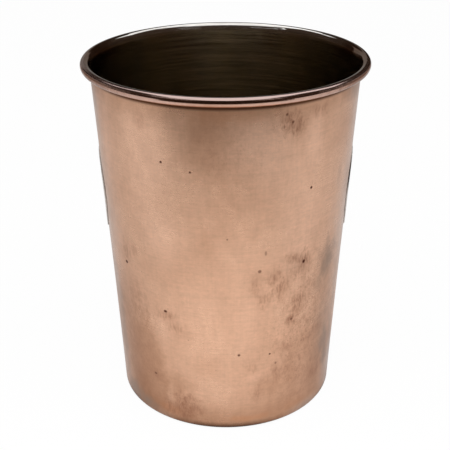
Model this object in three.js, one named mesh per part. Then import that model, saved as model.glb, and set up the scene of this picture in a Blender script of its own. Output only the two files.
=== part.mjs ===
// Copper cup: a tapered tumbler of thin copper sheet with a rolled rim, a grey metal
// lining and a plain oval badge on each side.
// Millimetres, +Z up. The origin is on the table under the middle of the base. The
// badges face +X and -X.

import * as THREE from 'three';

// Overall sizes of the cup

const cupHeight = 114; // table to the top of the rolled rim
const rimDiameter = 88.8; // across the outside of the rolled rim
const footDiameter = 70.7; // across the outside of the wall where its line meets the table
const wallBow = 0.2; // how far the wall bows inwards at mid height
const footCornerRadius = 1.8; // outside corner between the wall and the base

// The two sheets

const copperThickness = 0.4;
const liningThickness = 0.12;
const bondGap = 0.03; // between the lining and the copper behind it
const liningEdge = 0.05; // thickness of the lining's edge on top of the rim

// Rolled rim

const curlBore = 1.66; // across the hollow inside the curl, on the side of the wall
const neckFlare = 0.47; // how far the wall leans out before the curl begins
const neckHeight = 1.5; // from the start of that lean up to the middle of the curl
const neckLean = THREE.MathUtils.degToRad(30); // lean of the wall where the curl begins
const curlTipGap = 0.1; // least room between the tip of the curl and the wall's back

// Base

const standingRingWidth = 5; // flat ring that the cup stands on
const dishDepth = 0.8; // rise of the middle of the base above that ring
const dishSlopeWidth = 2; // width of the step between the ring and the middle

// Badges

const badgeWidth = 20;
const badgeLength = 28; // from its lowest to its highest point
const badgeHeight = 71.5; // table to the middle of a badge
const badgeFieldThickness = 0.17;
const badgeRingWidth = 1.6;
const badgeRingRise = 0.1; // ring's top above the field
const badgeRingSlope = 0.25; // width of the slope between the ring and the field
const badgeSeatGap = 0.08; // film of solder behind a badge

// Fineness of the curved surfaces

const turnSteps = 64; // round the cup
const wallSteps = 4;
const cornerSteps = 3;
const neckSteps = 3;
const rimStartSteps = 4; // from the start of the curl to the top of the rim
const curlSteps = 4; // from the top of the rim to its widest point, and again to the tip
const dishSteps = 3;
const badgeSpokes = 36;
const badgeRingSpacing = 2.5;

// Values that follow from the sizes

const sheetThickness = copperThickness + bondGap + liningThickness;
const rimRadius = rimDiameter / 2;
const beadRadius = curlBore / 2 + sheetThickness;
const beadCentre = new THREE.Vector2(rimRadius - beadRadius, cupHeight - beadRadius);
const beadFlank = beadCentre.x - beadRadius;
const wallTopRadius = beadFlank - neckFlare + sheetThickness;
const footRadius = footDiameter / 2;
const neckStart = beadCentre.y - neckHeight;

// Outside of the wall: its radius and its lean from the vertical at a height

function wallRadius(height) {
  const share = height / beadCentre.y;
  return THREE.MathUtils.lerp(footRadius, wallTopRadius, share) - 4 * wallBow * share * (1 - share);
}

function wallLean(height) {
  const share = height / beadCentre.y;
  const slope = (wallTopRadius - footRadius - 4 * wallBow * (1 - 2 * share)) / beadCentre.y;
  return Math.atan(slope);
}

// A station is a point on the cup's inside face, with the direction from there through
// the sheets to the outside, and the depths at which the lining ends and the copper
// begins and ends.

function station(point, normal, liningDepth = liningThickness) {
  return { point, normal, liningDepth, copperDepth: liningDepth + bondGap };
}

function atDepth({ point, normal }, depth) {
  return point.clone().addScaledVector(normal, depth);
}

function direction(angle) {
  return new THREE.Vector2(Math.cos(angle), Math.sin(angle));
}

function steps(count, first = 0) {
  return Array.from({ length: count + 1 - first }, (_, i) => (i + first) / count);
}

// Inside face from the middle of the base to the start of the standing ring's corner

function baseStations(cornerCentre) {
  const slopeEnd = cornerCentre.x - standingRingWidth;
  const slopeStart = slopeEnd - dishSlopeWidth;
  const down = new THREE.Vector2(0, -1);
  const middle = new THREE.Vector2(0, sheetThickness + dishDepth);
  const slope = steps(dishSteps).map((share) => {
    const rise = dishDepth * (1 - THREE.MathUtils.smoothstep(share, 0, 1));
    const fall = (-6 * share * (1 - share) * dishDepth) / dishSlopeWidth;
    const point = new THREE.Vector2(slopeStart + share * dishSlopeWidth, sheetThickness + rise);
    return station(point, new THREE.Vector2(fall, -1).normalize());
  });
  return [station(middle, down), ...slope];
}

// Inside face of the corner, round the same centre as the outside corner

function cornerStations(cornerCentre, cornerLean) {
  return steps(cornerSteps).map((share) => {
    const normal = direction(THREE.MathUtils.lerp(-Math.PI / 2, -cornerLean, share));
    const point = cornerCentre.clone().addScaledVector(normal, footCornerRadius - sheetThickness);
    return station(point, normal);
  });
}

function wallStations(wallStart) {
  return steps(wallSteps, 1).map((share) => wallStation(THREE.MathUtils.lerp(wallStart, neckStart, share)));
}

function wallStation(height) {
  const normal = direction(-wallLean(height));
  const outside = new THREE.Vector2(wallRadius(height), height);
  return station(outside.addScaledVector(normal, -sheetThickness), normal);
}

// Inside face of the neck: a smooth curve from the wall to the start of the curl

function neckStations() {
  const start = wallStation(neckStart).point;
  const end = beadCentre.clone().addScaledVector(direction(Math.PI - neckLean), beadRadius);
  const handle = start.distanceTo(end) / 3;
  const startLean = wallLean(neckStart);
  const startHandle = direction(Math.PI / 2 - startLean).multiplyScalar(handle).add(start);
  const endHandle = direction(Math.PI / 2 - neckLean).multiplyScalar(-handle).add(end);
  const curve = new THREE.CubicBezierCurve(start, startHandle, endHandle, end);
  return steps(neckSteps, 1).map((share) => {
    const along = curve.getTangent(share);
    return station(curve.getPoint(share), new THREE.Vector2(along.y, -along.x));
  });
}

// Skin of the curl. The lining thins out up to the top of the rim, and past the top the
// copper is the skin.

function beadStation(angle, liningDepth) {
  const outwards = direction(angle);
  const point = beadCentre.clone().addScaledVector(outwards, beadRadius);
  return station(point, outwards.negate(), liningDepth);
}

function rimStartStations() {
  return steps(rimStartSteps, 1).map((share) => {
    const angle = THREE.MathUtils.lerp(Math.PI - neckLean, Math.PI / 2, share);
    return beadStation(angle, THREE.MathUtils.lerp(liningThickness, liningEdge, share));
  });
}

function curlStations() {
  const tipAngle = Math.acos((beadRadius - sheetThickness - curlTipGap) / beadRadius) - Math.PI;
  const falling = steps(curlSteps, 1).map((share) => (Math.PI / 2) * (1 - share));
  const returning = steps(curlSteps, 1).map((share) => tipAngle * share);
  return [...falling, ...returning].map((angle) => ({ ...beadStation(angle, 0), copperDepth: 0 }));
}

// Stations of both sheets, from the middle of the base to the tip of the curl

const footLean = wallLean(0);
const cornerCentre = new THREE.Vector2(
  footRadius + footCornerRadius * Math.tan(footLean) - footCornerRadius / Math.cos(footLean),
  footCornerRadius,
);
const linedStations = [
  ...baseStations(cornerCentre),
  ...cornerStations(cornerCentre, footLean),
  ...wallStations(footCornerRadius * (1 - Math.sin(footLean))),
  ...neckStations(),
  ...rimStartStations(),
];
const allStations = [...linedStations, ...curlStations()];

// A sheet is turned from the face that its outer depths give and the face that its
// inner depths give. The profile starts and ends on the axis.

function turnSheet(stations, innerDepth, outerDepth) {
  const outer = stations.map((place) => atDepth(place, outerDepth(place)));
  const inner = stations.map((place) => atDepth(place, innerDepth(place))).reverse();
  const geometry = new THREE.LatheGeometry([...outer, ...inner], turnSteps);
  return geometry.rotateX(Math.PI / 2);
}

function makeShell() {
  return turnSheet(
    allStations,
    (place) => place.copperDepth,
    (place) => place.copperDepth + copperThickness,
  );
}

function makeLining() {
  return turnSheet(
    linedStations,
    () => 0,
    (place) => place.liningDepth,
  );
}

// A point of a badge lies so far along the wall sideways and upwards from the badge's
// middle, and so far off the wall

function onWall(sideways, upwards, offWall) {
  const lean = wallLean(badgeHeight);
  const height = badgeHeight + upwards * Math.cos(lean);
  const radius = wallRadius(height);
  const angle = sideways / radius;
  const reach = radius + offWall * Math.cos(lean);
  return [reach * Math.cos(angle), reach * Math.sin(angle), height - offWall * Math.sin(lean)];
}

// Ovals of a badge, from the middle of its back round the edge to the middle of its face.
// Each has its half width, its half length and its height off the wall.

function badgeOvals() {
  const oval = (inset, share, offWall) => [
    (badgeWidth / 2 - inset) * share,
    (badgeLength / 2 - inset) * share,
    offWall,
  ];
  const fieldInset = badgeRingWidth + badgeRingSlope;
  const back = badgeSeatGap;
  const field = back + badgeFieldThickness;
  const ringTop = field + badgeRingRise;
  const rings = Math.ceil(badgeLength / 2 / badgeRingSpacing);
  const backOvals = steps(rings, 1).map((share) => oval(0, share, back));
  const faceOvals = steps(rings, 1).map((share) => oval(fieldInset, share, field));
  return [
    ...backOvals,
    oval(0, 1, ringTop),
    oval(badgeRingWidth, 1, ringTop),
    ...faceOvals.reverse(),
  ];
}

function makeBadge() {
  const ovals = badgeOvals();
  const corners = [onWall(0, 0, badgeSeatGap)];
  for (const [halfWidth, halfLength, offWall] of ovals) {
    for (let spoke = 0; spoke < badgeSpokes; spoke += 1) {
      const angle = (2 * Math.PI * spoke) / badgeSpokes;
      corners.push(onWall(halfWidth * Math.cos(angle), halfLength * Math.sin(angle), offWall));
    }
  }
  corners.push(onWall(0, 0, badgeSeatGap + badgeFieldThickness));
  const faces = [];
  const last = corners.length - 1;
  const cornerAt = (ring, spoke) => 1 + ring * badgeSpokes + (spoke % badgeSpokes);
  for (let spoke = 0; spoke < badgeSpokes; spoke += 1) {
    faces.push(0, cornerAt(0, spoke + 1), cornerAt(0, spoke));
    for (let ring = 0; ring < ovals.length - 1; ring += 1) {
      faces.push(cornerAt(ring, spoke), cornerAt(ring, spoke + 1), cornerAt(ring + 1, spoke + 1));
      faces.push(cornerAt(ring, spoke), cornerAt(ring + 1, spoke + 1), cornerAt(ring + 1, spoke));
    }
    faces.push(last, cornerAt(ovals.length - 1, spoke), cornerAt(ovals.length - 1, spoke + 1));
  }
  const geometry = new THREE.BufferGeometry();
  geometry.setAttribute('position', new THREE.Float32BufferAttribute(corners.flat(), 3));
  geometry.setIndex(faces);
  geometry.computeVertexNormals();
  return geometry;
}

// Materials

const copper = new THREE.MeshStandardMaterial({ color: 0xc18c6b, roughness: 0.34, metalness: 1 });
const greyMetal = new THREE.MeshStandardMaterial({ color: 0x77706a, roughness: 0.3, metalness: 1 });
const agedCopper = new THREE.MeshStandardMaterial({ color: 0x9c7460, roughness: 0.4, metalness: 1 });

// The cup put together

function part(name, geometry, material, turn = 0) {
  const mesh = new THREE.Mesh(geometry, material);
  mesh.name = name;
  mesh.rotation.z = turn;
  return mesh;
}

const cup = new THREE.Group();
cup.add(
  part('copper_shell', makeShell(), copper),
  part('inner_lining', makeLining(), greyMetal),
  part('right_badge', makeBadge(), agedCopper),
  part('left_badge', makeBadge(), agedCopper, Math.PI),
);

export default cup;
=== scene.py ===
"""Looks of the copper cup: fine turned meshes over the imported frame, worn copper outside, a grey
metal lining inside, a plain oval badge on each side, and a pale studio with soft light."""

import math
from collections import namedtuple

import bpy
from mathutils import Matrix, Vector, noise


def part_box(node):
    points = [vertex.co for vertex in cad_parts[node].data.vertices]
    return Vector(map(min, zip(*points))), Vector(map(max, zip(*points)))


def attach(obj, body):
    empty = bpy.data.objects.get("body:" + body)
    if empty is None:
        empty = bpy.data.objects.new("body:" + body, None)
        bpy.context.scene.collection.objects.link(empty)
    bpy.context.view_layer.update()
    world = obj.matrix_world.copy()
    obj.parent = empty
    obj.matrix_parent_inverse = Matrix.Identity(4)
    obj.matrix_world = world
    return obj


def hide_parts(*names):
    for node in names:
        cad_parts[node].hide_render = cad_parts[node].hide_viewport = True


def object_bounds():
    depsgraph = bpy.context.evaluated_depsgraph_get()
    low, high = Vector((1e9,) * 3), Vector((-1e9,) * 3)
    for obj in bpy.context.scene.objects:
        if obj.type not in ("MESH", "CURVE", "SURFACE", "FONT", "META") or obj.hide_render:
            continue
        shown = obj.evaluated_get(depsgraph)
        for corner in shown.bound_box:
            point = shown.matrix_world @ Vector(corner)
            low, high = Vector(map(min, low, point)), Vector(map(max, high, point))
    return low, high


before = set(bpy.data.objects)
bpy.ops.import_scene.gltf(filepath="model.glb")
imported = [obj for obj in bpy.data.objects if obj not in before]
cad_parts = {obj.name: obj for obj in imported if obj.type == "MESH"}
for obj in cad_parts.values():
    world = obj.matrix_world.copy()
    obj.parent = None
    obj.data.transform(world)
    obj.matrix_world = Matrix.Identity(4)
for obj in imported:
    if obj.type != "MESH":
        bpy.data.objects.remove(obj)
cad_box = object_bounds()

MM = 0.001

# The kinds of values that belong together
Station = namedtuple("Station", "point normal lining_depth copper_depth")
Groups = namedtuple("Groups", "lines patches mark pits scratches")
Grain = namedtuple("Grain", "size detail", defaults=(3.0,))
Patch = namedtuple("Patch", "size low high detail", defaults=(4.0,))
Band = namedtuple("Band", "name edges middle spread")
Flag = namedtuple("Flag", "name reach width low high")
Softbox = namedtuple("Softbox", "name place target width depth power")
Pool = namedtuple("Pool", "name place target cone lamp_radius power")

# Sizes that the frame gives
CUP_HEIGHT = cad_box[1].z
RIM_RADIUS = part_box("copper_shell")[1].x
BADGE_LOW, BADGE_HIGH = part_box("right_badge")
BADGE_HEIGHT = (BADGE_LOW.z + BADGE_HIGH.z) / 2

# The wall
FOOT_RADIUS = 35.35 * MM
WALL_BOW = 0.2 * MM
FOOT_CORNER_RADIUS = 1.8 * MM

# The two sheets
COPPER_THICKNESS = 0.4 * MM
LINING_THICKNESS = 0.12 * MM
BOND_GAP = 0.03 * MM
LINING_EDGE = 0.05 * MM
SHEETS = COPPER_THICKNESS + BOND_GAP + LINING_THICKNESS

# The rolled rim
CURL_BORE = 1.66 * MM
NECK_FLARE = 0.47 * MM
NECK_HEIGHT = 1.5 * MM
NECK_LEAN = math.radians(30)
CURL_TIP_GAP = 0.1 * MM
LINING_END_TURN = math.radians(1.5)
BEAD_RADIUS = CURL_BORE / 2 + SHEETS
BEAD_CENTRE = Vector((RIM_RADIUS - BEAD_RADIUS, CUP_HEIGHT - BEAD_RADIUS))
NECK_START = BEAD_CENTRE.y - NECK_HEIGHT
WALL_TOP_RADIUS = BEAD_CENTRE.x - BEAD_RADIUS - NECK_FLARE + SHEETS

# The base
STANDING_RING_WIDTH = 5 * MM
DISH_DEPTH = 0.8 * MM
DISH_SLOPE_WIDTH = 2 * MM

# The badges
BADGE_HALF_WIDTH = 10 * MM
BADGE_HALF_LENGTH = 14 * MM
BADGE_FIELD = 0.17 * MM
BADGE_RING_WIDTH = 1.6 * MM
BADGE_RING_RISE = 0.1 * MM
BADGE_RING_SLOPE = 0.25 * MM
BADGE_SEAT_GAP = 0.08 * MM
BADGE_EDGE_ROUND = 0.22 * MM

# Slight hollows that use has left in the wall
HOLLOW_DEPTH = 0.05 * MM
HOLLOW_SPREAD = 16 * MM
HOLLOW_FADE = 6 * MM

# Fineness of the meshes
TURN_STEPS = 256
WALL_STEPS = 72
CORNER_STEPS = 10
NECK_STEPS = 10
RIM_STEPS = 14
CURL_STEPS = 28
TIP_STEPS = 4
DISH_STEPS = 10
BADGE_SPOKES = 128
BADGE_RINGS = 16
EDGE_STEPS = 5
RING_STEPS = 3
SLOPE_STEPS = 5
SHARP_ANGLE = math.radians(35)

# The camera
LENS = 77.397
CAMERA_REACH = 290.84 * MM
CAMERA_HEIGHT = 192.23 * MM
CAMERA_PITCH = 0.4368
CAMERA_YAW = -0.0012
CAMERA_ROLL = -0.0040
CAMERA_TURN = math.radians(-0.5)
NEAREST_SEEN = 10 * MM

# Heights between which the finish of the copper or the lining changes
BEAD_ZONE = (CUP_HEIGHT - 3.1 * MM, CUP_HEIGHT - 2.6 * MM)
CREST_ZONE = (CUP_HEIGHT - 0.8 * MM, CUP_HEIGHT - 0.4 * MM)
# A dark line in the corner under the bead: painted shade, partly dirt.
UNDER_RIM_SHADE_ZONE = (CUP_HEIGHT - 4.7 * MM, CUP_HEIGHT - 3.7 * MM)
# The rim zone darkens the copper towards the rim: painted shade under the bead, partly dirt.
RIM_SHADE_ZONE = (CUP_HEIGHT - 12 * MM, CUP_HEIGHT - 3 * MM)
LIP_ZONE = (CUP_HEIGHT - 2 * MM, CUP_HEIGHT - 1.2 * MM)
# Painted shade at the foot: a dark line at its very bottom, and brown that darkens towards the bottom.
FOOT_SHADE_LINE_ZONE = (3.4 * MM, 0.8 * MM)
FOOT_SHADE_FADE_ZONE = (14 * MM, 0.0)

# Zones of a badge's finish. The first two are shares of the way from its middle to the inside of
# its ring, and the others are shares of the way from its middle to its edge.
BADGE_CORNER_ZONE = (0.8, 0.97)
BADGE_RING_ZONE = (0.98, 1.0)
BADGE_EDGE_HIGHLIGHT_ZONE = (0.975, 0.985)
BADGE_CUT_ZONE = (0.985, 0.996)

# Rubbed lines and soft patches in the metals, with the size of one in millimetres
COPPER_TURNED = Grain((16, 16, 0.35))
COPPER_BROAD_TURNED = Grain((34, 34, 1.3), detail=2.0)
COPPER_RUBBED = Grain((0.7, 0.7, 15), detail=2.0)
COPPER_WEAVE = Grain((1.5, 1.5, 0.8))
COPPER_CLOUDS = Patch((26, 26, 30), low=0.38, high=0.64)
COPPER_MOTTLING = Patch((4, 4, 5.5), low=0.4, high=0.68, detail=5.0)
STAIN_STREAKS = Patch((0.6, 0.6, 2.0), low=0.38, high=0.70)
WORN_BLOTCHES = Patch((1.7, 1.7, 2.6), low=0.44, high=0.66, detail=5.0)
WORN_SPECKS = Patch((0.6, 0.6, 0.8), low=0.53, high=0.70, detail=2.0)
RAGGED_EDGES = Grain((2.4, 2.4, 3.4), detail=5.0)
LINING_TURNED = Grain((30, 30, 0.5))
LINING_STREAKS = Grain((7, 7, 0.9), detail=2.0)
LINING_CLOUDS = Patch((14, 14, 9), low=0.38, high=0.66)
LINING_MOTTLING = Patch((3, 3, 2), low=0.4, high=0.7)
BADGE_RUBBED = Grain((9, 9, 0.3))
BADGE_CLOUDS = Patch((9, 9, 9), low=0.36, high=0.66)
BADGE_MOTTLING = Patch((1.8, 1.8, 1.8), low=0.4, high=0.7)
BADGE_PIT_SPACING = 3 * MM
PIT_EDGE = 0.02

# How strong some of the marks are
SCATTERED_PIT_STRENGTH = 0.4
RIM_SHADE_STRENGTH = 0.3
FOOT_SHADE_FADE_STRENGTH = 0.42
LIP_SHADE_STRENGTH = 0.8
BADGE_CORNER_DARKENING = 0.25

# Gloss of the clean metals, and how far their turned lines stretch it
COPPER_ROUGHNESS = 0.26
COPPER_STRETCH = 0.4
LINING_ROUGHNESS = 0.15
LINING_STRETCH = 0.93
LINING_STRETCH_TURN = 0.25
BADGE_ROUGHNESS = 0.3

# Colours of the metals
CLEAN_COPPER = (0.82, 0.495, 0.335, 1)
DULL_COPPER = (0.76, 0.45, 0.30, 1)
# Lighter copper for rubbed places, also a painted sheen
RUBBED_AND_SHEEN_COPPER = (0.97, 0.60, 0.42, 1)
# Brown for tarnish, also used for painted shade on the wall and the lip
BROWN_TARNISH_AND_SHADE = (0.36, 0.155, 0.07, 1)
BROWN_STAIN = (0.42, 0.205, 0.125, 1)
GREY_SMUDGE = (0.36, 0.23, 0.165, 1)
# Greyer copper of the painted edge sheen
GREY_EDGE_SHEEN = (0.72, 0.62, 0.57, 1)
ORANGE_TARNISH = (0.66, 0.30, 0.15, 1)
# Near black brown for the painted shade under the rim, which is partly dirt, the painted shade at the
# foot, and the darker corner inside a badge's ring
DARK_DIRT_AND_SHADE = (0.12, 0.05, 0.025, 1)
DARK_PIT = (0.12, 0.035, 0.02, 1)
DEEP_GREY = (0.60, 0.52, 0.38, 1)
BROWN_GREY = (0.54, 0.45, 0.31, 1)
POLISHED_GREY = (0.90, 0.87, 0.83, 1)
BADGE_COPPER = (0.68, 0.56, 0.50, 1)
BADGE_TARNISH = (0.60, 0.48, 0.42, 1)
# Near white for the badge's rounded edge, a painted highlight
PALE_EDGE_HIGHLIGHT = (0.90, 0.83, 0.77, 1)
# Near black for dark marks on the badges
DARK_BADGE_MARK = (0.12, 0.085, 0.075, 1)
CREST_COPPER = (0.68, 0.50, 0.46, 1)
BEAD_COPPER = (0.74, 0.48, 0.39, 1)
RED_FILM = (0.40, 0.20, 0.13, 1)

# Marks on the wall: degrees round from the front, height, width and tallness in millimetres,
# and strength
FRONT = CAMERA_TURN - math.pi / 2
# Tarnish and painted shade: the top front marks paint a dark reflection, the low front and side marks
# paint shade by the foot, the high side marks are painted shade with some tarnish under the rim, and
# the back marks are tarnish.
TARNISH_AND_SHADE_MARKS = (
    (-7, 104, 24, 46, 0.42),
    (0, 113, 46, 18, 0.34),
    (1, 81, 34, 40, 0.21),
    (-25, 15, 18, 16, 0.32),
    (-52, 12, 20, 16, 0.25),
    (22, 15, 12, 12, 0.15),
    (-9, 24, 14, 14, 0.15),
    (26, 16, 22, 18, 0.18),
    (65, 24, 16, 34, 0.22),
    (-56, 14, 46, 62, 0.50),
    (-58, 38, 28, 46, 0.34),
    (-50, 4, 34, 16, 0.48),
    (-22, 6, 14, 15, 0.35),
    (-8, 4, 30, 16, 0.22),
    (56, 16, 44, 70, 0.36),
    (58, 46, 26, 40, 0.26),
    (28, 6, 34, 14, 0.20),
    (72, 110, 26, 14, 0.50),
    (58, 110, 26, 12, 0.45),
    (-66, 110, 24, 12, 0.45),
    (70, 80, 12, 16, 0.15),
    (70, 22, 10, 20, 0.15),
    (-10, 68, 12, 22, 0.16),
    (-62, 34, 14, 50, 0.20),
    (-50, 10, 12, 14, 0.20),
    (-62, 104, 26, 26, 0.16),
    (62, 100, 20, 34, 0.22),
    (120, 60, 60, 70, 0.30),
    (178, 96, 50, 44, 0.38),
    (205, 20, 60, 46, 0.45),
    (250, 70, 44, 60, 0.28),
)
# Rubbed places and painted sheen: the marks on the front paint brighter reflection into the copper,
# and the three round the back are rubbed places.
RUBBED_AND_SHEEN_MARKS = (
    (-36, 92, 26, 66, 0.85),
    (-62, 96, 18, 46, 0.50),
    (-29, 68, 18, 28, 0.65),
    (-31, 36, 10, 18, 0.30),
    (38.5, 98, 13, 34, 0.95),
    (37, 74, 26, 64, 0.80),
    (18, 101, 22, 24, 0.75),
    (8, 99, 34, 24, 0.45),
    (20, 94, 20, 36, 0.60),
    (14, 104, 18, 10, 0.80),
    (30, 90, 12, 26, 0.60),
    (-40, 100, 14, 20, 0.60),
    (41, 20, 12, 24, 0.50),
    (49, 2, 16, 7, 0.90),
    (-30, 94, 14, 26, 0.60),
    (-34, 70, 16, 22, 0.40),
    (10, 42, 14, 34, 0.25),
    (14, 20, 8, 5, 0.45),
    (43, 9, 10, 18, 0.50),
    (-40, 3, 14, 5, 0.40),
    (100, 88, 30, 40, 0.40),
    (160, 70, 20, 50, 0.50),
    (240, 90, 30, 40, 0.50),
)
STAIN_MARKS = (
    (25.5, 106, 8, 9, 0.90),
    (29, 103.5, 9, 8, 0.90),
    (38, 107, 6, 6, 0.50),
    (43, 107, 5, 9, 0.50),
    (31, 61, 10, 5, 0.75),
    (38, 58.5, 10, 9, 0.85),
    (33, 56, 10, 5, 0.45),
    (22, 55, 8, 12, 0.70),
    (26, 51.5, 8, 13, 0.65),
    (35.5, 45, 11, 10, 0.75),
    (36, 41.5, 8, 8, 0.70),
    (32, 39, 6, 5, 0.70),
    (14, 53, 5, 13, 0.50),
    (18, 48, 8, 9, 0.50),
    (41, 49, 8, 5, 0.50),
    (29, 29, 10, 9, 0.40),
    (27, 20, 16, 12, 0.40),
    (12, 24, 7, 9, 0.35),
    (15.5, 14, 8, 9, 0.40),
    (-22, 7, 17, 16, 0.95),
    (-29, 4, 12, 6, 0.50),
    (-36, 104, 6, 10, 0.40),
    (-54, 58, 8, 12, 0.45),
    (-47, 61, 4, 8, 0.40),
    (-30, 41, 14, 5, 0.50),
    (-25, 37, 10, 9, 0.45),
    (-48, 44, 14, 18, 0.35),
    (-39, 17, 8, 6, 0.35),
    (52, 14, 14, 9, 0.50),
    (50, 30, 12, 10, 0.35),
    (150, 84, 12, 9, 0.70),
    (162, 40, 9, 16, 0.70),
    (196, 58, 14, 10, 0.75),
    (222, 90, 7, 12, 0.60),
    (235, 30, 12, 12, 0.70),
    (128, 22, 10, 8, 0.65),
)
SMUDGE_MARKS = (
    (56, 55, 16, 20, 0.85),
    (49, 48, 12, 12, 0.30),
    (-47, 3.5, 14, 7, 0.95),
    (-59, 4.5, 14, 11, 0.90),
    (-60, 2.5, 10, 7, 0.50),
    (58, 30, 18, 44, 0.35),
    (61, 23, 9, 16, 0.85),
    (64, 15, 8, 12, 0.80),
    (59, 83, 4, 12, 0.30),
    (34, 58, 13, 9, 0.25),
    (-67, 26, 9, 56, 0.50),
    (-74, 34, 7, 70, 0.35),
    (70, 36, 7, 60, 0.30),
    (-76, 107, 24, 18, 0.35),
    (68, 109, 26, 12, 0.45),
    (180, 70, 16, 12, 0.40),
    (142, 30, 12, 20, 0.40),
    (228, 50, 16, 12, 0.45),
)
# Brown patches with firmer edges: the two at the front paint the edge of the shade reflected from the
# paper beside the foot, and the two round the back are tarnish from handling.
HANDLED_AND_SHADE_MARKS = (
    (-46, 14, 21, 60, 0.30),
    (45, 20, 22, 34, 0.16),
    (130, 40, 26, 60, 0.25),
    (215, 70, 28, 50, 0.25),
)
WORN_MARKS = (
    (42, 34, 44, 90, 1.0),
    (-22, 6, 24, 24, 1.0),
    (-50, 24, 30, 70, 0.6),
    (26, 104, 20, 16, 0.8),
    (0, 96, 40, 40, 0.4),
    (150, 60, 60, 80, 0.8),
    (230, 40, 50, 70, 0.8),
)
# Painted reflection: greyer, paler copper, mostly at the wall's left and right edges, where the wall
# shows a whiter reflection.
EDGE_SHEEN_MARKS = (
    (-94, 68, 56, 96, 0.95),
    (-82, 14, 28, 56, 0.80),
    (-72, 42, 12, 30, 0.50),
    (94, 68, 58, 96, 0.95),
    (77, 10, 26, 44, 0.90),
    (-80, 106, 26, 22, 0.60),
    (76, 108, 28, 18, 0.50),
    (-76, 98, 22, 26, 0.45),
    (76, 98, 22, 26, 0.45),
    (-42, 1, 20, 9, 0.80),
    (47, 1, 24, 9, 0.80),
)
BEAD_MARKS = (
    (-84, 112, 78, 14, 1.0),
    (84, 112, 78, 14, 1.0),
    (175, 112, 40, 12, 0.7),
)
# Painted shade: the lip is darkened to brown at its left and right, where it shows a dark reflection.
LIP_SHADE_MARKS = (
    (-92, 112, 50, 14, 1.0),
    (92, 112, 50, 14, 1.0),
)
# How strong the painted shade line at the foot is, round the cup
FOOT_SHADE_MARKS = (
    (0, 1, 56, 16, 1.0),
    (-62, 1, 18, 14, 0.9),
    (-74, 1, 26, 14, 0.6),
    (74, 1, 26, 14, 0.6),
    (120, 1, 40, 14, 0.7),
    (180, 1, 46, 14, 0.9),
    (235, 1, 40, 14, 0.7),
)
ORANGE_MARKS = (
    (-30, 5, 12, 5, 0.40),
    (12, 4, 20, 4, 0.45),
    (38, 5, 16, 5, 0.15),
    (2, 109, 40, 10, 0.25),
    (150, 5, 22, 6, 0.50),
    (205, 5, 24, 6, 0.50),
)
PIT_MARKS = (
    (-27, 93, 0.9, 0.9, 0.9),
    (-14.5, 91, 0.9, 0.9, 0.8),
    (38.5, 83, 1.2, 1.2, 1.0),
    (-54, 54.5, 1.7, 1.2, 1.0),
    (-30, 42.5, 1.5, 1.1, 0.9),
    (37.5, 58.5, 1.3, 1.5, 1.0),
    (6, 29, 1.5, 1.4, 0.9),
    (21.5, 28, 0.9, 0.9, 0.9),
    (15, 58.5, 1.5, 1.5, 0.6),
    (17.5, 64.5, 0.9, 2.0, 0.4),
    (0.5, 70, 0.8, 0.8, 0.5),
    (25, 24, 1.0, 1.2, 0.5),
    (-39, 17, 1.3, 0.9, 0.6),
    (32.5, 39, 1.2, 0.8, 0.6),
    (24, 107.5, 1.0, 1.0, 0.6),
    (27, 105, 1.1, 1.1, 0.6),
    (140, 75, 1.2, 1.2, 0.9),
    (171, 52, 1.4, 1.2, 0.9),
    (190, 88, 1.0, 1.0, 0.9),
    (214, 36, 1.3, 1.3, 0.9),
    (240, 62, 1.1, 1.1, 0.9),
)
# Dark marks on the badges, the strongest at the upper front edge of the right badge
BADGE_MARKS = (
    (79, 78, 9, 17, 0.95),
    (97, 64, 9, 12, 0.3),
    (-98, 79, 9, 12, 0.3),
)

# The studio, in metres
WHITE = (1, 1, 1, 1)
PAPER = (0.8, 0.8, 0.8, 1)
DARK_CLOTH = (0.05, 0.032, 0.022, 1)
THIN_CLOTH = (0.05, 0.045, 0.04, 1)
ROOM_LIGHT = (1.0, 0.95, 0.88, 1)
CLOTH_ROUGHNESS = 0.9
CLOTH_SHINE = 0.1
WORLD_LIGHT = 0.3
PAPER_WHITE = 1.012
FLOOR_GLOW = 0.95
FLOOR_GLOW_MIRRORED = 0.12
FLOOR_REACH = 4.0
FLOOR_LEVEL = -0.05 * MM
THIN_CLOTH_GLOW = 0.16
BAND_STEPS = 48

# Bands of cloth, each between two edges of so much reach and height. The middle is in degrees
# round from the front, as for the marks, and the spread is in degrees to either side of it.
DARK_CURTAINS = (
    Band("dark_curtain", ((1.0, 0), (1.0, 0.85)), middle=90, spread=180),
    Band("back_curtain", ((1.0, 0), (1.0, 1.2)), middle=180, spread=46),
)
THIN_CURTAIN = Band("thin_curtain", ((0.95, 0), (0.95, 0.45)), middle=191, spread=24)
MIRRORED_BANDS = (
    # The front shade mat is a dark sheet on the paper in front of the cup that only the metal shows:
    # painted shade for the shadow that falls there
    Band("front_shade_mat", ((0.27, 1 * MM), (1.0, 1 * MM)), middle=0, spread=50),
    Band("high_band", ((0.44, 0.46), (0.44, 0.64)), middle=0, spread=62),
    Band("left_wing", ((0.6, 0.48), (0.6, 1.1)), middle=-92, spread=28),
    Band("right_wing", ((0.6, 0.48), (0.6, 1.1)), middle=76, spread=28),
)
FLAGS = (
    Flag("front_flag", reach=0.42, width=0.42, low=0.0, high=0.50),
    Flag("camera_flag", reach=0.30, width=0.10, low=0.11, high=0.27),
)
SOFTBOXES = (
    Softbox("front_softbox", (0, -0.3, 1.1), (0, -0.3, 0), width=1.7, depth=1.0, power=8.2),
    Softbox("back_softbox", (0, 0.35, 1.1), (0, 0.1, 0), width=1.7, depth=0.8, power=4.2),
)
FRONT_POOL = Pool("front_pool", (0, -0.35, 0.7), (0, -0.08, 0), cone=20, lamp_radius=0.05, power=10)


# The cup's profile

def heading(angle):
    return Vector((math.cos(angle), math.sin(angle)))


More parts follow.
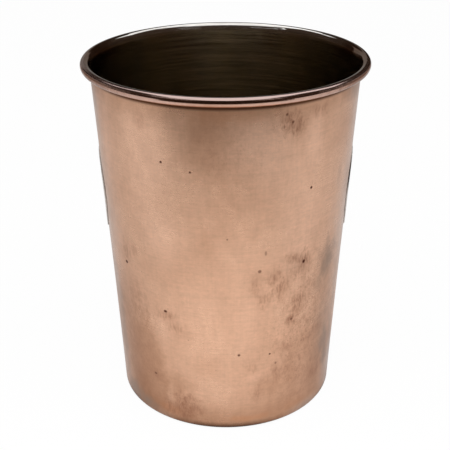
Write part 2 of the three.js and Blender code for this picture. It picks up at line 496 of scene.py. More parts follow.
def mixed(first, second, share):
    return first + (second - first) * share


def smooth(share):
    share = min(max(share, 0), 1)
    return share * share * (3 - 2 * share)


def shares(count, first=1):
    return [step / count for step in range(first, count + 1)]


def wall_radius(height):
    share = height / BEAD_CENTRE.y
    return mixed(FOOT_RADIUS, WALL_TOP_RADIUS, share) - 4 * WALL_BOW * share * (1 - share)


def wall_lean(height):
    share = height / BEAD_CENTRE.y
    rise = WALL_TOP_RADIUS - FOOT_RADIUS - 4 * WALL_BOW * (1 - 2 * share)
    return math.atan(rise / BEAD_CENTRE.y)


def lined_station(point, normal, lining_depth=LINING_THICKNESS):
    return Station(point, normal, lining_depth, lining_depth + BOND_GAP)


def corner_centre():
    lean = wall_lean(0)
    reach = FOOT_RADIUS + FOOT_CORNER_RADIUS * (math.tan(lean) - 1 / math.cos(lean))
    return Vector((reach, FOOT_CORNER_RADIUS))


def base_stations():
    """From the middle of the base over the dish's slope to the standing ring. The rise is that of
    smooth(), and the fall is its steepness."""
    slope_end = corner_centre().x - STANDING_RING_WIDTH
    slope_start = slope_end - DISH_SLOPE_WIDTH
    stations = [lined_station(Vector((0, SHEETS + DISH_DEPTH)), Vector((0, -1)))]
    for share in shares(DISH_STEPS, 0):
        rise = DISH_DEPTH * (1 - smooth(share))
        fall = -6 * share * (1 - share) * DISH_DEPTH / DISH_SLOPE_WIDTH
        point = Vector((slope_start + share * DISH_SLOPE_WIDTH, SHEETS + rise))
        stations.append(lined_station(point, Vector((fall, -1)).normalized()))
    return stations


def corner_stations():
    stations = []
    for share in shares(CORNER_STEPS, 0):
        normal = heading(mixed(-math.pi / 2, -wall_lean(0), share))
        point = corner_centre() + normal * (FOOT_CORNER_RADIUS - SHEETS)
        stations.append(lined_station(point, normal))
    return stations


def wall_station(height):
    normal = heading(-wall_lean(height))
    return lined_station(Vector((wall_radius(height), height)) - normal * SHEETS, normal)


def wall_stations():
    start = FOOT_CORNER_RADIUS * (1 - math.sin(wall_lean(0)))
    return [wall_station(mixed(start, NECK_START, share)) for share in shares(WALL_STEPS)]


def neck_stations():
    """A smooth curve from the wall to the start of the curl."""
    start = wall_station(NECK_START).point
    end = BEAD_CENTRE + heading(math.pi - NECK_LEAN) * BEAD_RADIUS
    handle = (end - start).length / 3
    start_handle = start + heading(math.pi / 2 - wall_lean(NECK_START)) * handle
    end_handle = end - heading(math.pi / 2 - NECK_LEAN) * handle
    stations = []
    for share in shares(NECK_STEPS):
        rest = 1 - share
        point = (start * rest**3 + start_handle * 3 * rest**2 * share
                 + end_handle * 3 * rest * share**2 + end * share**3)
        along = ((start_handle - start) * rest**2 + (end_handle - start_handle) * 2 * rest * share
                 + (end - end_handle) * share**2).normalized()
        stations.append(lined_station(point, Vector((along.y, -along.x))))
    return stations


def bead_point(angle):
    return BEAD_CENTRE + heading(angle) * BEAD_RADIUS


def rim_stations():
    """From the start of the curl to the top of the rim, with the lining thinning out."""
    stations = []
    for share in shares(RIM_STEPS):
        angle = mixed(math.pi - NECK_LEAN, math.pi / 2, share)
        depth = mixed(LINING_THICKNESS, LINING_EDGE, share)
        stations.append(lined_station(bead_point(angle), -heading(angle), depth))
    return stations


def curl_stations():
    """From the top of the rim round to the tip. Copper is the skin here."""
    tip_angle = math.acos((BEAD_RADIUS - SHEETS - CURL_TIP_GAP) / BEAD_RADIUS) - math.pi
    first_angle = math.pi / 2 - LINING_END_TURN
    widest = [mixed(first_angle, 0, share) for share in shares(CURL_STEPS, 0)]
    return_angles = [tip_angle * share for share in shares(CURL_STEPS)]
    return [Station(bead_point(angle), -heading(angle), 0, 0) for angle in widest + return_angles]


def at_depth(station, depth):
    return station.point + station.normal * depth


def curl_tip(station):
    """The rounded edge of the copper at the tip of the curl, from its back to its skin."""
    middle = at_depth(station, COPPER_THICKNESS / 2)
    onwards = Vector((station.normal.y, -station.normal.x))
    points = []
    for share in shares(TIP_STEPS)[:-1]:
        angle = math.pi * share
        turn = station.normal * math.cos(angle) + onwards * math.sin(angle)
        points.append(middle + turn * COPPER_THICKNESS / 2)
    return points


def hollow(azimuth, height):
    """How far the wall is pressed in at a place. Nothing is pressed in round the badges."""
    across = wall_radius(height)
    place = Vector((across * math.cos(azimuth), across * math.sin(azimuth), height))
    depth = (noise.noise(place / HOLLOW_SPREAD) + 1) / 2
    for side in (-1, 1):
        badge = Vector((side * wall_radius(BADGE_HEIGHT), 0, BADGE_HEIGHT))
        depth *= smooth(((place - badge).length - BADGE_HALF_LENGTH) / HOLLOW_FADE)
    ends = min(height - FOOT_CORNER_RADIUS, NECK_START - height)
    return HOLLOW_DEPTH * depth * smooth(ends / HOLLOW_FADE)


# Meshes

def make_piece(name, corners, faces, material):
    mesh = bpy.data.meshes.new(name)
    mesh.from_pydata(corners, [], faces)
    mesh.materials.append(material)
    mesh.shade_smooth()
    mesh.set_sharp_from_angle(angle=SHARP_ANGLE)
    piece = bpy.data.objects.new(name, mesh)
    bpy.context.scene.collection.objects.link(piece)
    return piece


def turned_piece(name, profile, material, pressed=False):
    """A closed piece turned round the cup's axis. The profile starts and ends on the axis."""
    corners = [Vector((0, 0, profile[0].y))]
    for point in profile[1:-1]:
        for step in range(TURN_STEPS):
            azimuth = 2 * math.pi * step / TURN_STEPS
            outer_skin = pressed and point.x > wall_radius(point.y) - COPPER_THICKNESS / 2
            radius = point.x - (hollow(azimuth, point.y) if outer_skin else 0)
            corners.append(Vector((radius * math.cos(azimuth), radius * math.sin(azimuth), point.y)))
    corners.append(Vector((0, 0, profile[-1].y)))
    return make_piece(name, corners, ring_faces(len(profile) - 2, TURN_STEPS), material)


def ring_faces(rings, steps):
    """Faces between rings of corners, with a fan at either end."""
    last = 1 + rings * steps
    faces = []
    for step in range(steps):
        after = (step + 1) % steps
        faces.append((0, 1 + after, 1 + step))
        for ring in range(rings - 1):
            low = 1 + ring * steps
            high = low + steps
            faces.append((low + step, low + after, high + after, high + step))
        faces.append((last, last - steps + step, last - steps + after))
    return faces


def make_shell(material):
    curl = curl_stations()
    stations = lined_stations() + curl
    back = [at_depth(place, place.copper_depth + COPPER_THICKNESS) for place in stations]
    skin = [at_depth(place, place.copper_depth) for place in reversed(stations)]
    return turned_piece("copper_body", back + curl_tip(curl[-1]) + skin, material, pressed=True)


def lined_stations():
    return base_stations() + corner_stations() + wall_stations() + neck_stations() + rim_stations()


def make_lining(material):
    stations = lined_stations()
    back = [at_depth(place, place.lining_depth) for place in stations]
    face = [place.point for place in reversed(stations)]
    return turned_piece("grey_lining", back + face, material)


def badge_ovals():
    """Each oval's inset from the edge, share of its size and height off the wall, from the middle
    of the back round the edge to the middle of the face."""
    field = BADGE_SEAT_GAP + BADGE_FIELD
    ring_top = field + BADGE_RING_RISE
    round_start = ring_top - BADGE_EDGE_ROUND
    field_inset = BADGE_RING_WIDTH + BADGE_RING_SLOPE
    back = [(0, share, BADGE_SEAT_GAP) for share in shares(BADGE_RINGS)]
    edge = []
    for share in shares(EDGE_STEPS, 0):
        turn = heading(math.pi / 2 * share) * BADGE_EDGE_ROUND
        edge.append((BADGE_EDGE_ROUND - turn.x, 1, round_start + turn.y))
    ring = [(mixed(BADGE_EDGE_ROUND, BADGE_RING_WIDTH, share), 1, ring_top)
            for share in shares(RING_STEPS)]
    slope = [(mixed(BADGE_RING_WIDTH, field_inset, share), 1, mixed(ring_top, field, smooth(share)))
             for share in shares(SLOPE_STEPS)]
    face = [(field_inset, share, field) for share in reversed(shares(BADGE_RINGS)[:-1])]
    return back + edge + ring + slope + face


def on_wall(sideways, upwards, off_wall, side):
    """A point of a badge, so far along the wall sideways and upwards and so far off it."""
    lean = wall_lean(BADGE_HEIGHT)
    height = BADGE_HEIGHT + upwards * math.cos(lean)
    spot = heading(sideways / wall_radius(height)) * (wall_radius(height) + off_wall * math.cos(lean))
    point = Vector((spot.x, spot.y, height - off_wall * math.sin(lean)))
    return Matrix.Rotation(math.pi if side < 0 else 0, 3, "Z") @ point


def make_badge(name, side, material):
    ovals = badge_ovals()
    corners = [on_wall(0, 0, BADGE_SEAT_GAP, side)]
    for inset, share, off_wall in ovals:
        for spoke in range(BADGE_SPOKES):
            spot = heading(2 * math.pi * spoke / BADGE_SPOKES) * share
            sideways = spot.x * (BADGE_HALF_WIDTH - inset)
            upwards = spot.y * (BADGE_HALF_LENGTH - inset)
            corners.append(on_wall(sideways, upwards, off_wall, side))
    corners.append(on_wall(0, 0, BADGE_SEAT_GAP + BADGE_FIELD, side))
    return make_piece(name, corners, ring_faces(len(ovals), BADGE_SPOKES), material)


# Shader nodes

def plug(tree, socket, value):
    if isinstance(value, bpy.types.NodeSocket):
        tree.links.new(value, socket)
    else:
        socket.default_value = value


def add_node(tree, kind, inputs=None, **settings):
    made = tree.nodes.new(kind)
    for name, value in settings.items():
        setattr(made, name, value)
    for key, value in (inputs or {}).items():
        plug(tree, made.inputs[key], value)
    return made


def calc(tree, operation, *values):
    return add_node(tree, "ShaderNodeMath", dict(enumerate(values)), operation=operation).outputs[0]


def vector_calc(tree, operation, *values):
    made = add_node(tree, "ShaderNodeVectorMath", dict(enumerate(values)), operation=operation)
    return made.outputs["Value" if operation in ("LENGTH", "DISTANCE", "DOT_PRODUCT") else 0]


def ramp(tree, value, low, high):
    """0 below low, 1 above high, smooth between."""
    inputs = {"Value": value, "From Min": low, "From Max": high}
    return add_node(tree, "ShaderNodeMapRange", inputs, interpolation_type="SMOOTHSTEP").outputs[0]


def mix_colour(tree, share, first, second, way="MIX"):
    inputs = {0: share, 6: first, 7: second}
    return add_node(tree, "ShaderNodeMix", inputs, data_type="RGBA", blend_type=way).outputs[2]


def new_group(name, inputs, outputs):
    group = bpy.data.node_groups.new(name, "ShaderNodeTree")
    for label, kind, default in inputs:
        socket = group.interface.new_socket(label, in_out="INPUT", socket_type="NodeSocket" + kind)
        socket.default_value = default
    for label, kind in outputs:
        group.interface.new_socket(label, in_out="OUTPUT", socket_type="NodeSocket" + kind)
    given = group.nodes.new("NodeGroupInput").outputs
    result = group.nodes.new("NodeGroupOutput").inputs
    return group, given, result


def place_group(tree, group, inputs):
    made = tree.nodes.new("ShaderNodeGroup")
    made.node_tree = group
    for key, value in inputs.items():
        plug(tree, made.inputs[key], value)
    return made.outputs


def sized_noise(group, position, size, detail):
    """Noise whose grains are as wide, deep and tall as the size says."""
    place = vector_calc(group, "DIVIDE", position, size)
    inputs = {"Vector": place, "Scale": 1.0, "Detail": detail, "Roughness": 0.6}
    return add_node(group, "ShaderNodeTexNoise", inputs).outputs["Fac"]


def lines_group():
    """Rubbed lines from -1 to 1, which run along the longest side of the line size."""
    group, given, result = new_group(
        "rubbed_lines",
        [("Position", "Vector", (0, 0, 0)), ("Line Size", "Vector", (0.01, 0.01, 0.0004)),
         ("Detail", "Float", 3.0)],
        [("Lines", "Float")],
    )
    value = sized_noise(group, given["Position"], given["Line Size"], given["Detail"])
    inputs = {"Value": value, "From Min": 0.25, "From Max": 0.75, "To Min": -1.0, "To Max": 1.0}
    plug(group, result["Lines"], add_node(group, "ShaderNodeMapRange", inputs).outputs[0])
    return group


def patches_group():
    """Soft patches from 0 to 1, such as uneven tarnish."""
    group, given, result = new_group(
        "soft_patches",
        [("Position", "Vector", (0, 0, 0)), ("Patch Size", "Vector", (0.02, 0.02, 0.02)),
         ("Low", "Float", 0.4), ("High", "Float", 0.6), ("Detail", "Float", 4.0)],
        [("Patches", "Float")],
    )
    value = sized_noise(group, given["Position"], given["Patch Size"], given["Detail"])
    plug(group, result["Patches"], ramp(group, value, given["Low"], given["High"]))
    return group


def mark_group():
    """One mark with a ragged edge, laid over the marks before it."""
    group, given, result = new_group(
        "wall_mark",
        [("Position", "Vector", (0, 0, 0)), ("Middle", "Vector", (0, 0, 0)),
         ("Reach", "Vector", (1, 1, 1)), ("Strength", "Float", 1.0), ("Softness", "Float", 0.5),
         ("Raggedness", "Float", 0.3), ("Noise", "Float", 0.0), ("Other Marks", "Float", 0.0)],
        [("Marks", "Float")],
    )
    away = vector_calc(group, "SUBTRACT", given["Position"], given["Middle"])
    away = vector_calc(group, "LENGTH", vector_calc(group, "DIVIDE", away, given["Reach"]))
    away = calc(group, "MULTIPLY_ADD", given["Noise"], given["Raggedness"], away)
    inside = ramp(group, calc(group, "SUBTRACT", 1.0, away), 0.0, given["Softness"])
    mark = calc(group, "MULTIPLY", inside, given["Strength"])
    bare = calc(group, "SUBTRACT", 1.0, given["Other Marks"])
    plug(group, result["Marks"], calc(group, "MULTIPLY_ADD", mark, bare, given["Other Marks"]))
    return group


def pits_group():
    """Tiny round pits, some larger than others, with bare metal between them."""
    group, given, result = new_group(
        "tiny_pits",
        [("Position", "Vector", (0, 0, 0)), ("Spacing", "Float", 0.006), ("Pit Size", "Float", 0.05),
         ("Bare Share", "Float", 0.7)],
        [("Pits", "Float")],
    )
    scale = calc(group, "DIVIDE", 1.0, given["Spacing"])
    inputs = {"Vector": given["Position"], "Scale": scale}
    cells = add_node(group, "ShaderNodeTexVoronoi", inputs).outputs
    chance = add_node(group, "ShaderNodeSeparateColor", {"Color": cells["Color"]}).outputs["Red"]
    chosen = ramp(group, chance, given["Bare Share"], 1.0)
    reach = calc(group, "MULTIPLY", chosen, given["Pit Size"])
    inside = calc(group, "SUBTRACT", reach, cells["Distance"])
    plug(group, result["Pits"], ramp(group, inside, 0.0, PIT_EDGE))
    return group


def scratches_group():
    """Long thin scratches that lean one way, where a slow noise passes through its middle."""
    group, given, result = new_group(
        "thin_scratches",
        [("Position", "Vector", (0, 0, 0)), ("Lean", "Float", 0.5),
         ("Scratch Size", "Vector", (0.03, 0.03, 0.004)), ("Width", "Float", 0.012)],
        [("Scratches", "Float")],
    )
    inputs = {"Vector": given["Position"], "Angle": given["Lean"]}
    leaning = add_node(group, "ShaderNodeVectorRotate", inputs, rotation_type="Y_AXIS").outputs[0]
    value = sized_noise(group, leaning, given["Scratch Size"], 1.0)
    off_middle = calc(group, "ABSOLUTE", calc(group, "SUBTRACT", value, 0.5))
    inside = calc(group, "SUBTRACT", given["Width"], off_middle)
    plug(group, result["Scratches"], ramp(group, inside, 0.0, given["Width"]))
    return group


def make_groups():
    return Groups(lines_group(), patches_group(), mark_group(), pits_group(), scratches_group())


def lines(tree, groups, position, grain):
    inputs = {"Position": position, "Line Size": millimetres(grain.size), "Detail": grain.detail}
    return place_group(tree, groups.lines, inputs)["Lines"]


def patches(tree, groups, position, patch):
    inputs = {
        "Position": position,
        "Patch Size": millimetres(patch.size),
        "Low": patch.low,
        "High": patch.high,
        "Detail": patch.detail,
    }
    return place_group(tree, groups.patches, inputs)["Patches"]


def millimetres(size):
    return tuple(side * MM for side in size)


def wall_spot(turn, height):
    """A place on the wall, so far round from the front and so high."""
    spot = heading(FRONT + math.radians(turn)) * wall_radius(height)
    return Vector((spot.x, spot.y, height))


def wall_marks(tree, groups, position, ragged, marks, softness, raggedness):
    """All marks of a kind. Each has its turn from the front, height, width, tallness and strength."""
    so_far = 0.0
    for turn, height, width, tall, strength in marks:
        inputs = {
            "Position": position,
            "Middle": wall_spot(turn, height * MM),
            "Reach": millimetres((width / 2, width / 2, tall / 2)),
            "Strength": strength,
            "Softness": softness,
            "Raggedness": raggedness,
            "Noise": ragged,
            "Other Marks": so_far,
        }
        so_far = place_group(tree, groups.mark, inputs)["Marks"]
    return so_far


def new_material(name):
    material = bpy.data.materials.new(name)
    material.use_nodes = True
    return material, material.node_tree.nodes["Principled BSDF"]


def new_metal(name):
    """A metal's material, nodes and shader, and the place on the object."""
    material, shader = new_material(name)
    tree = material.node_tree
    position = tree.nodes.new("ShaderNodeTexCoord").outputs["Object"]
    return material, tree, shader, position


def height_of(tree, position):
    return add_node(tree, "ShaderNodeSeparateXYZ", {"Vector": position}).outputs["Z"]


def total(tree, start, *terms):
    """The start value and so much of each mask."""
    value = start
    for mask, share in terms:
        value = calc(tree, "MULTIPLY_ADD", mask, share, value)
    return value


def bump(tree, shader, relief):
    """The relief is in metres."""
    made = add_node(tree, "ShaderNodeBump", {"Height": relief, "Distance": 1.0, "Strength": 1.0})
    plug(tree, shader.inputs["Normal"], made.outputs["Normal"])


def most(tree, *masks):
    value = masks[0]
    for mask in masks[1:]:
        value = calc(tree, "MAXIMUM", value, mask)
    return value


def shaded(tree, colour, shade):
    return mix_colour(tree, 1.0, colour, shade, "MULTIPLY")


def copper_material(groups):
    """Copper brushed round the cup, with rubbed, tarnished and stained places and a bright rim, and
    with painted sheen, painted reflection and painted shade in its colour.
    """
    material, tree, shader, position = new_metal("worn_copper")
    height = height_of(tree, position)

    # Lines and patches
    turned = lines(tree, groups, position, COPPER_TURNED)
    broad_turned = lines(tree, groups, position, COPPER_BROAD_TURNED)
    rubbed = lines(tree, groups, position, COPPER_RUBBED)
    weave = lines(tree, groups, position, COPPER_WEAVE)
    ragged = lines(tree, groups, position, RAGGED_EDGES)
    clouds = patches(tree, groups, position, COPPER_CLOUDS)
    mottling = patches(tree, groups, position, COPPER_MOTTLING)
    streaks = patches(tree, groups, position, STAIN_STREAKS)
    blotches = patches(tree, groups, position, WORN_BLOTCHES)
    specks = patches(tree, groups, position, WORN_SPECKS)

    # Rubbed places with painted sheen, tarnish with painted shade, stains and damage
    def marks(places, softness, raggedness):
        return wall_marks(tree, groups, position, ragged, places, softness, raggedness)

    tarnish_and_shade = marks(TARNISH_AND_SHADE_MARKS, softness=1.0, raggedness=0.12)
    rubbed_and_sheen = marks(RUBBED_AND_SHEEN_MARKS, softness=1.0, raggedness=0.12)
    handled_and_shade = marks(HANDLED_AND_SHADE_MARKS, softness=0.35, raggedness=0.1)
    worn = marks(WORN_MARKS, softness=1.0, raggedness=0.2)
    worn = calc(tree, "MULTIPLY", worn, total(tree, 0.0, (blotches, 0.38), (specks, 0.55)))
    smudges = marks(SMUDGE_MARKS, softness=1.0, raggedness=0.25)
    edge_sheen = marks(EDGE_SHEEN_MARKS, softness=1.0, raggedness=0.1)
    orange = marks(ORANGE_MARKS, softness=0.9, raggedness=0.3)
    stains = marks(STAIN_MARKS, softness=1.0, raggedness=0.4)
    stains = calc(tree, "MULTIPLY", stains, total(tree, 0.40, (streaks, 0.85)))
    placed_pits = marks(PIT_MARKS, softness=0.6, raggedness=0.25)
    scattered_pits = place_group(tree, groups.pits, {"Position": position})["Pits"]
    pits = most(tree, placed_pits, calc(tree, "MULTIPLY", scattered_pits, SCATTERED_PIT_STRENGTH))
    scratches = place_group(tree, groups.scratches, {"Position": position})["Scratches"]
    scratches = calc(tree, "MULTIPLY", scratches, mottling)

    # The rolled rim, painted shade with some dirt under it, and painted shade round the foot
    bead = ramp(tree, height, *BEAD_ZONE)
    crest = ramp(tree, height, *CREST_ZONE)
    under_rim_dirt_and_shade = calc(tree, "SUBTRACT", ramp(tree, height, *UNDER_RIM_SHADE_ZONE), bead)
    rim_dirt_and_shade = calc(tree, "SUBTRACT", ramp(tree, height, *RIM_SHADE_ZONE), bead)
    rim_dirt_and_shade = calc(tree, "MULTIPLY", rim_dirt_and_shade, RIM_SHADE_STRENGTH)
    foot_shade_share = marks(FOOT_SHADE_MARKS, softness=0.9, raggedness=0.15)
    foot_shade_line = calc(tree, "MULTIPLY", ramp(tree, height, *FOOT_SHADE_LINE_ZONE),
                     total(tree, 0.15, (foot_shade_share, 0.85)))
    foot_shade_fade = calc(tree, "MULTIPLY", ramp(tree, height, *FOOT_SHADE_FADE_ZONE), FOOT_SHADE_FADE_STRENGTH)
    film = marks(BEAD_MARKS, softness=0.6, raggedness=0.15)
    film = calc(tree, "MULTIPLY", film, calc(tree, "SUBTRACT", bead, crest))

    # Painted light in the colour: the rubbed-and-sheen copper and the edge sheen paint brighter
    # reflection, the tarnish, handled, rim and under-rim mixes are part painted shade, and the foot
    # mixes are painted shade.
    colour = mix_colour(tree, clouds, CLEAN_COPPER, DULL_COPPER)
    colour = mix_colour(tree, rubbed_and_sheen, colour, RUBBED_AND_SHEEN_COPPER)
    colour = mix_colour(tree, edge_sheen, colour, GREY_EDGE_SHEEN)
    colour = mix_colour(tree, bead, colour, BEAD_COPPER)
    colour = mix_colour(tree, film, colour, RED_FILM)
    grain = total(tree, 1.0, (turned, 0.035), (broad_turned, 0.03), (rubbed, 0.03), (weave, 0.06),
                  (mottling, -0.05), (scratches, 0.05))
    colour = shaded(tree, colour, grain)
    colour = mix_colour(tree, most(tree, tarnish_and_shade, rim_dirt_and_shade), colour, BROWN_TARNISH_AND_SHADE)
    colour = mix_colour(tree, handled_and_shade, colour, BROWN_TARNISH_AND_SHADE)
    colour = mix_colour(tree, worn, colour, BROWN_STAIN)
    colour = mix_colour(tree, foot_shade_fade, colour, BROWN_TARNISH_AND_SHADE)
    colour = mix_colour(tree, orange, colour, ORANGE_TARNISH)
    colour = mix_colour(tree, smudges, colour, GREY_SMUDGE)
    colour = mix_colour(tree, stains, colour, BROWN_STAIN)
    colour = mix_colour(tree, most(tree, under_rim_dirt_and_shade, foot_shade_line), colour, DARK_DIRT_AND_SHADE)
    colour = mix_colour(tree, pits, colour, DARK_PIT)
    colour = mix_colour(tree, crest, colour, CREST_COPPER)
    plug(tree, shader.inputs["Base Color"], colour)
    plug(tree, shader.inputs["Metallic"], total(tree, 1.0, (film, -0.6)))

    roughness = total(tree, COPPER_ROUGHNESS, (clouds, 0.05), (mottling, 0.04), (turned, 0.02),
                      (tarnish_and_shade, 0.06), (stains, 0.12), (pits, 0.2), (bead, -0.14))
    plug(tree, shader.inputs["Roughness"], roughness)
    shader.inputs["Anisotropic"].default_value = COPPER_STRETCH
    relief = total(tree, 0.0, (turned, 0.0015 * MM), (rubbed, 0.001 * MM), (scratches, -0.001 * MM),
                   (pits, -0.05 * MM))
    bump(tree, shader, relief)
    return material


def lining_material(groups):
    """Grey metal with rubbed lines, polished on the lip, with painted shade darkening the lip's left
    and right.
    """
    material, tree, shader, position = new_metal("grey_metal")
    shader.inputs["Metallic"].default_value = 1.0
    turned = lines(tree, groups, position, LINING_TURNED)
    streaks = lines(tree, groups, position, LINING_STREAKS)
    ragged = lines(tree, groups, position, RAGGED_EDGES)
    clouds = patches(tree, groups, position, LINING_CLOUDS)
    mottling = patches(tree, groups, position, LINING_MOTTLING)
    lip = ramp(tree, height_of(tree, position), *LIP_ZONE)
    # Painted shade on the lip's left and right
    lip_shade = wall_marks(tree, groups, position, ragged, LIP_SHADE_MARKS, softness=0.6, raggedness=0.15)
    lip_shade = calc(tree, "MULTIPLY", lip_shade, LIP_SHADE_STRENGTH)

    colour = mix_colour(tree, clouds, DEEP_GREY, BROWN_GREY)
    colour = mix_colour(tree, lip, colour, POLISHED_GREY)
    colour = mix_colour(tree, lip_shade, colour, BROWN_TARNISH_AND_SHADE)
    colour = shaded(tree, colour, total(tree, 1.0, (turned, 0.28), (streaks, 0.1), (mottling, -0.03)))
    plug(tree, shader.inputs["Base Color"], colour)

    roughness = total(tree, LINING_ROUGHNESS, (clouds, 0.05), (mottling, 0.02), (turned, 0.03),
                      (lip, -0.1))
    plug(tree, shader.inputs["Roughness"], roughness)
    shader.inputs["Anisotropic"].default_value = LINING_STRETCH
    shader.inputs["Anisotropic Rotation"].default_value = LINING_STRETCH_TURN
    bump(tree, shader, total(tree, 0.0, (turned, 0.001 * MM)))
    return material


def out_from_middle(tree, position, inset):
    """0 in the middle of a badge and 1 at its edge, or so far inside its edge."""
    from_middle = vector_calc(tree, "SUBTRACT", position, (0, 0, BADGE_HEIGHT))
    scale = (0, 1 / (BADGE_HALF_WIDTH - inset), 1 / (BADGE_HALF_LENGTH - inset))
    return vector_calc(tree, "LENGTH", vector_calc(tree, "MULTIPLY", from_middle, scale))


def badge_material(groups):
    """Plain copper, darker in the corner inside its ring, with a pale, dull edge whose near-white
    colour is a painted highlight.
    """
    material, tree, shader, position = new_metal("aged_copper")
    to_ring = out_from_middle(tree, position, BADGE_RING_WIDTH)
    to_edge = out_from_middle(tree, position, 0)
    on_ring = ramp(tree, to_ring, *BADGE_RING_ZONE)
    corner = calc(tree, "SUBTRACT", ramp(tree, to_ring, *BADGE_CORNER_ZONE), on_ring)
    edge_highlight = ramp(tree, to_edge, *BADGE_EDGE_HIGHLIGHT_ZONE)
    cut_edge = ramp(tree, to_edge, *BADGE_CUT_ZONE)
    rubbed = lines(tree, groups, position, BADGE_RUBBED)
    ragged = lines(tree, groups, position, RAGGED_EDGES)
    clouds = patches(tree, groups, position, BADGE_CLOUDS)
    mottling = patches(tree, groups, position, BADGE_MOTTLING)
    dark_badge_marks = wall_marks(tree, groups, position, ragged, BADGE_MARKS, softness=0.8, raggedness=0.25)
    pit_inputs = {"Position": position, "Spacing": BADGE_PIT_SPACING}
    pits = place_group(tree, groups.pits, pit_inputs)["Pits"]

    colour = mix_colour(tree, clouds, BADGE_COPPER, BADGE_TARNISH)
    # The copper is darker in the corner inside the ring
    ring_corner_dark = calc(tree, "MULTIPLY", corner, BADGE_CORNER_DARKENING)
    colour = mix_colour(tree, ring_corner_dark, colour, DARK_DIRT_AND_SHADE)
    # The pale edge is a painted highlight
    colour = mix_colour(tree, edge_highlight, colour, PALE_EDGE_HIGHLIGHT)
    colour = shaded(tree, colour, total(tree, 1.0, (rubbed, 0.05), (mottling, -0.08), (on_ring, 0.05)))
    colour = mix_colour(tree, dark_badge_marks, colour, DARK_BADGE_MARK)
    colour = mix_colour(tree, pits, colour, DARK_PIT)
    plug(tree, shader.inputs["Base Color"], colour)
    plug(tree, shader.inputs["Metallic"], total(tree, 1.0, (cut_edge, -0.85)))

    roughness = total(tree, BADGE_ROUGHNESS, (clouds, 0.06), (mottling, 0.05), (corner, 0.12),
                      (dark_badge_marks, 0.1), (cut_edge, 0.2))
    plug(tree, shader.inputs["Roughness"], roughness)
    shader.inputs["Anisotropic"].default_value = COPPER_STRETCH
    relief = total(tree, 0.0, (rubbed, 0.0015 * MM), (mottling, -0.004 * MM), (pits, -0.03 * MM))
    bump(tree, shader, relief)
    return material


# The cup

def build_cup():
    groups = make_groups()
    copper = copper_material(groups)
    lining = lining_material(groups)
    badge = badge_material(groups)
    dressed = [
        (make_shell(copper), "copper_shell", "copper"),
        (make_lining(lining), "inner_lining", "lining"),
        (make_badge("badge_right", 1, badge), "right_badge", "badge"),
        (make_badge("badge_left", -1, badge), "left_badge", "badge"),
    ]
    for piece, node, slot in dressed:
        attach(piece, "root")
        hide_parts(node)


# The studio

def add_camera():
    data = bpy.data.cameras.new("camera")
    data.lens = LENS
    data.clip_start = NEAREST_SEEN
    camera = bpy.data.objects.new("camera", data)
    bpy.context.scene.collection.objects.link(camera)
    look = (Matrix.Rotation(-CAMERA_YAW, 4, "Z")
            @ Matrix.Rotation(math.pi / 2 - CAMERA_PITCH, 4, "X")
            @ Matrix.Rotation(CAMERA_ROLL, 4, "Z"))
    place = Matrix.Translation((0, -CAMERA_REACH, CAMERA_HEIGHT))
    camera.matrix_world = Matrix.Rotation(CAMERA_TURN, 4, "Z") @ place @ look
    bpy.context.scene.camera = camera


def add_world():
    """White for every ray that shows the background, and a softer light on dull surfaces."""
    world = bpy.data.worlds.new("pale_room")
    world.use_nodes = True
    tree = world.node_tree
    rays = tree.nodes.new("ShaderNodeLightPath").outputs
    seen = calc(tree, "MAXIMUM", rays["Is Camera Ray"], rays["Is Glossy Ray"])
    seen = calc(tree, "MAXIMUM", seen, rays["Is Transmission Ray"])
    strength = calc(tree, "MULTIPLY_ADD", seen, 1 - WORLD_LIGHT, WORLD_LIGHT)
    background = tree.nodes["Background"]
    plug(tree, background.inputs["Color"], WHITE)
    plug(tree, background.inputs["Strength"], strength)
    bpy.context.scene.world = world


def floor_material():
    """White paper. It shows white with a soft shadow, and nothing from below."""
    material = bpy.data.materials.new("white_paper")
    material.use_nodes = True
    tree = material.node_tree
    tree.nodes.remove(tree.nodes["Principled BSDF"])
    rays = tree.nodes.new("ShaderNodeLightPath").outputs
    mirrored = calc(tree, "MAXIMUM", rays["Is Glossy Ray"], rays["Is Transmission Ray"])
    share = calc(tree, "MULTIPLY", mirrored, FLOOR_GLOW_MIRRORED)
    share = calc(tree, "MULTIPLY_ADD", rays["Is Camera Ray"], FLOOR_GLOW, share)
    paper = add_node(tree, "ShaderNodeBsdfDiffuse", {"Color": PAPER})
    glow = add_node(tree, "ShaderNodeEmission", {"Color": WHITE, "Strength": PAPER_WHITE})
    lit = add_node(tree, "ShaderNodeMixShader", {0: share, 1: paper.outputs[0], 2: glow.outputs[0]})
    clear = tree.nodes.new("ShaderNodeBsdfTransparent")
    under = tree.nodes.new("ShaderNodeNewGeometry").outputs["Backfacing"]
    seen = add_node(tree, "ShaderNodeMixShader", {0: under, 1: lit.outputs[0], 2: clear.outputs[0]})
    tree.links.new(seen.outputs[0], tree.nodes["Material Output"].inputs["Surface"])
    return material


def add_stage_piece(name, corners, faces, material, hidden=True):
    mesh = bpy.data.meshes.new(name)
    mesh.from_pydata(corners, [], faces)
    mesh.materials.append(material)
    piece = bpy.data.objects.new(name, mesh)
    bpy.context.scene.collection.objects.link(piece)
    piece.visible_camera = not hidden
    return piece


def add_floor():
    corners = [(across * FLOOR_REACH, along * FLOOR_REACH, FLOOR_LEVEL)
               for across, along in ((-1, -1), (1, -1), (1, 1), (-1, 1))]
    add_stage_piece("floor", corners, [(0, 1, 2, 3)], floor_material(), hidden=False)


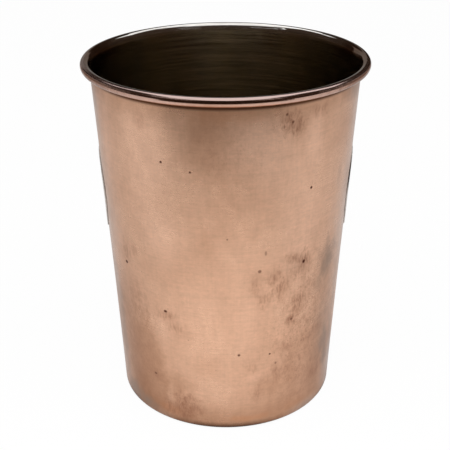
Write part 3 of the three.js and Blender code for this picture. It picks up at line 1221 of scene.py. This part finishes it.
def cloth(name, colour, glow=0.0):
    """Cloth that hangs round the table. The glow is the light of a room behind thin cloth."""
    material, shader = new_material(name)
    shader.inputs["Base Color"].default_value = colour
    shader.inputs["Roughness"].default_value = CLOTH_ROUGHNESS
    shader.inputs["Specular IOR Level"].default_value = CLOTH_SHINE
    shader.inputs["Emission Color"].default_value = ROOM_LIGHT
    shader.inputs["Emission Strength"].default_value = glow
    return material


def add_band(band, material):
    """A band round part of the table. The metal shows it between the paper and the light above."""
    corners = []
    for reach, level in band.edges:
        for step in range(BAND_STEPS + 1):
            turn = band.middle + mixed(-band.spread, band.spread, step / BAND_STEPS)
            spot = heading(FRONT + math.radians(turn)) * reach
            corners.append((spot.x, spot.y, level))
    second = BAND_STEPS + 1
    faces = [(step, step + 1, second + step + 1, second + step) for step in range(BAND_STEPS)]
    return add_stage_piece(band.name, corners, faces, material)


def add_mirrored_band(band, material):
    """A band that only the metal shows. It stops no light."""
    piece = add_band(band, material)
    piece.visible_diffuse = False
    piece.visible_shadow = False


def add_flag(flag, material):
    """An upright dark card in front of the cup."""
    side = flag.width / 2
    corners = [(-side, -flag.reach, flag.low), (side, -flag.reach, flag.low),
               (side, -flag.reach, flag.high), (-side, -flag.reach, flag.high)]
    add_stage_piece(flag.name, corners, [(0, 1, 2, 3)], material)


def add_softbox(softbox):
    data = bpy.data.lights.new(softbox.name, "AREA")
    data.shape = "RECTANGLE"
    data.size = softbox.width
    data.size_y = softbox.depth
    data.energy = softbox.power
    place_lamp(softbox, data)


def add_pool(pool):
    """A soft round pool of light on the paper."""
    data = bpy.data.lights.new(pool.name, "SPOT")
    data.spot_size = math.radians(pool.cone)
    data.spot_blend = 1.0
    data.shadow_soft_size = pool.lamp_radius
    data.energy = pool.power
    place_lamp(pool, data)


def place_lamp(light, data):
    """The lamps light the paper. The metal shows the paper and the room, not the lamps."""
    lamp = bpy.data.objects.new(light.name, data)
    bpy.context.scene.collection.objects.link(lamp)
    aim = (Vector(light.target) - Vector(light.place)).to_track_quat("-Z", "Y")
    lamp.matrix_world = Matrix.Translation(light.place) @ aim.to_matrix().to_4x4()
    lamp.visible_glossy = False


def add_studio():
    dark = cloth("dark_cloth", DARK_CLOTH)
    thin = cloth("thin_cloth", THIN_CLOTH, THIN_CLOTH_GLOW)
    add_floor()
    add_world()
    for curtain in DARK_CURTAINS:
        add_band(curtain, dark)
    add_band(THIN_CURTAIN, thin)
    for band in MIRRORED_BANDS:
        add_mirrored_band(band, dark)
    for flag in FLAGS:
        add_flag(flag, dark)
    for softbox in SOFTBOXES:
        add_softbox(softbox)
    add_pool(FRONT_POOL)
    bpy.context.scene.view_settings.view_transform = "Standard"


build_cup()
add_camera()
add_studio()
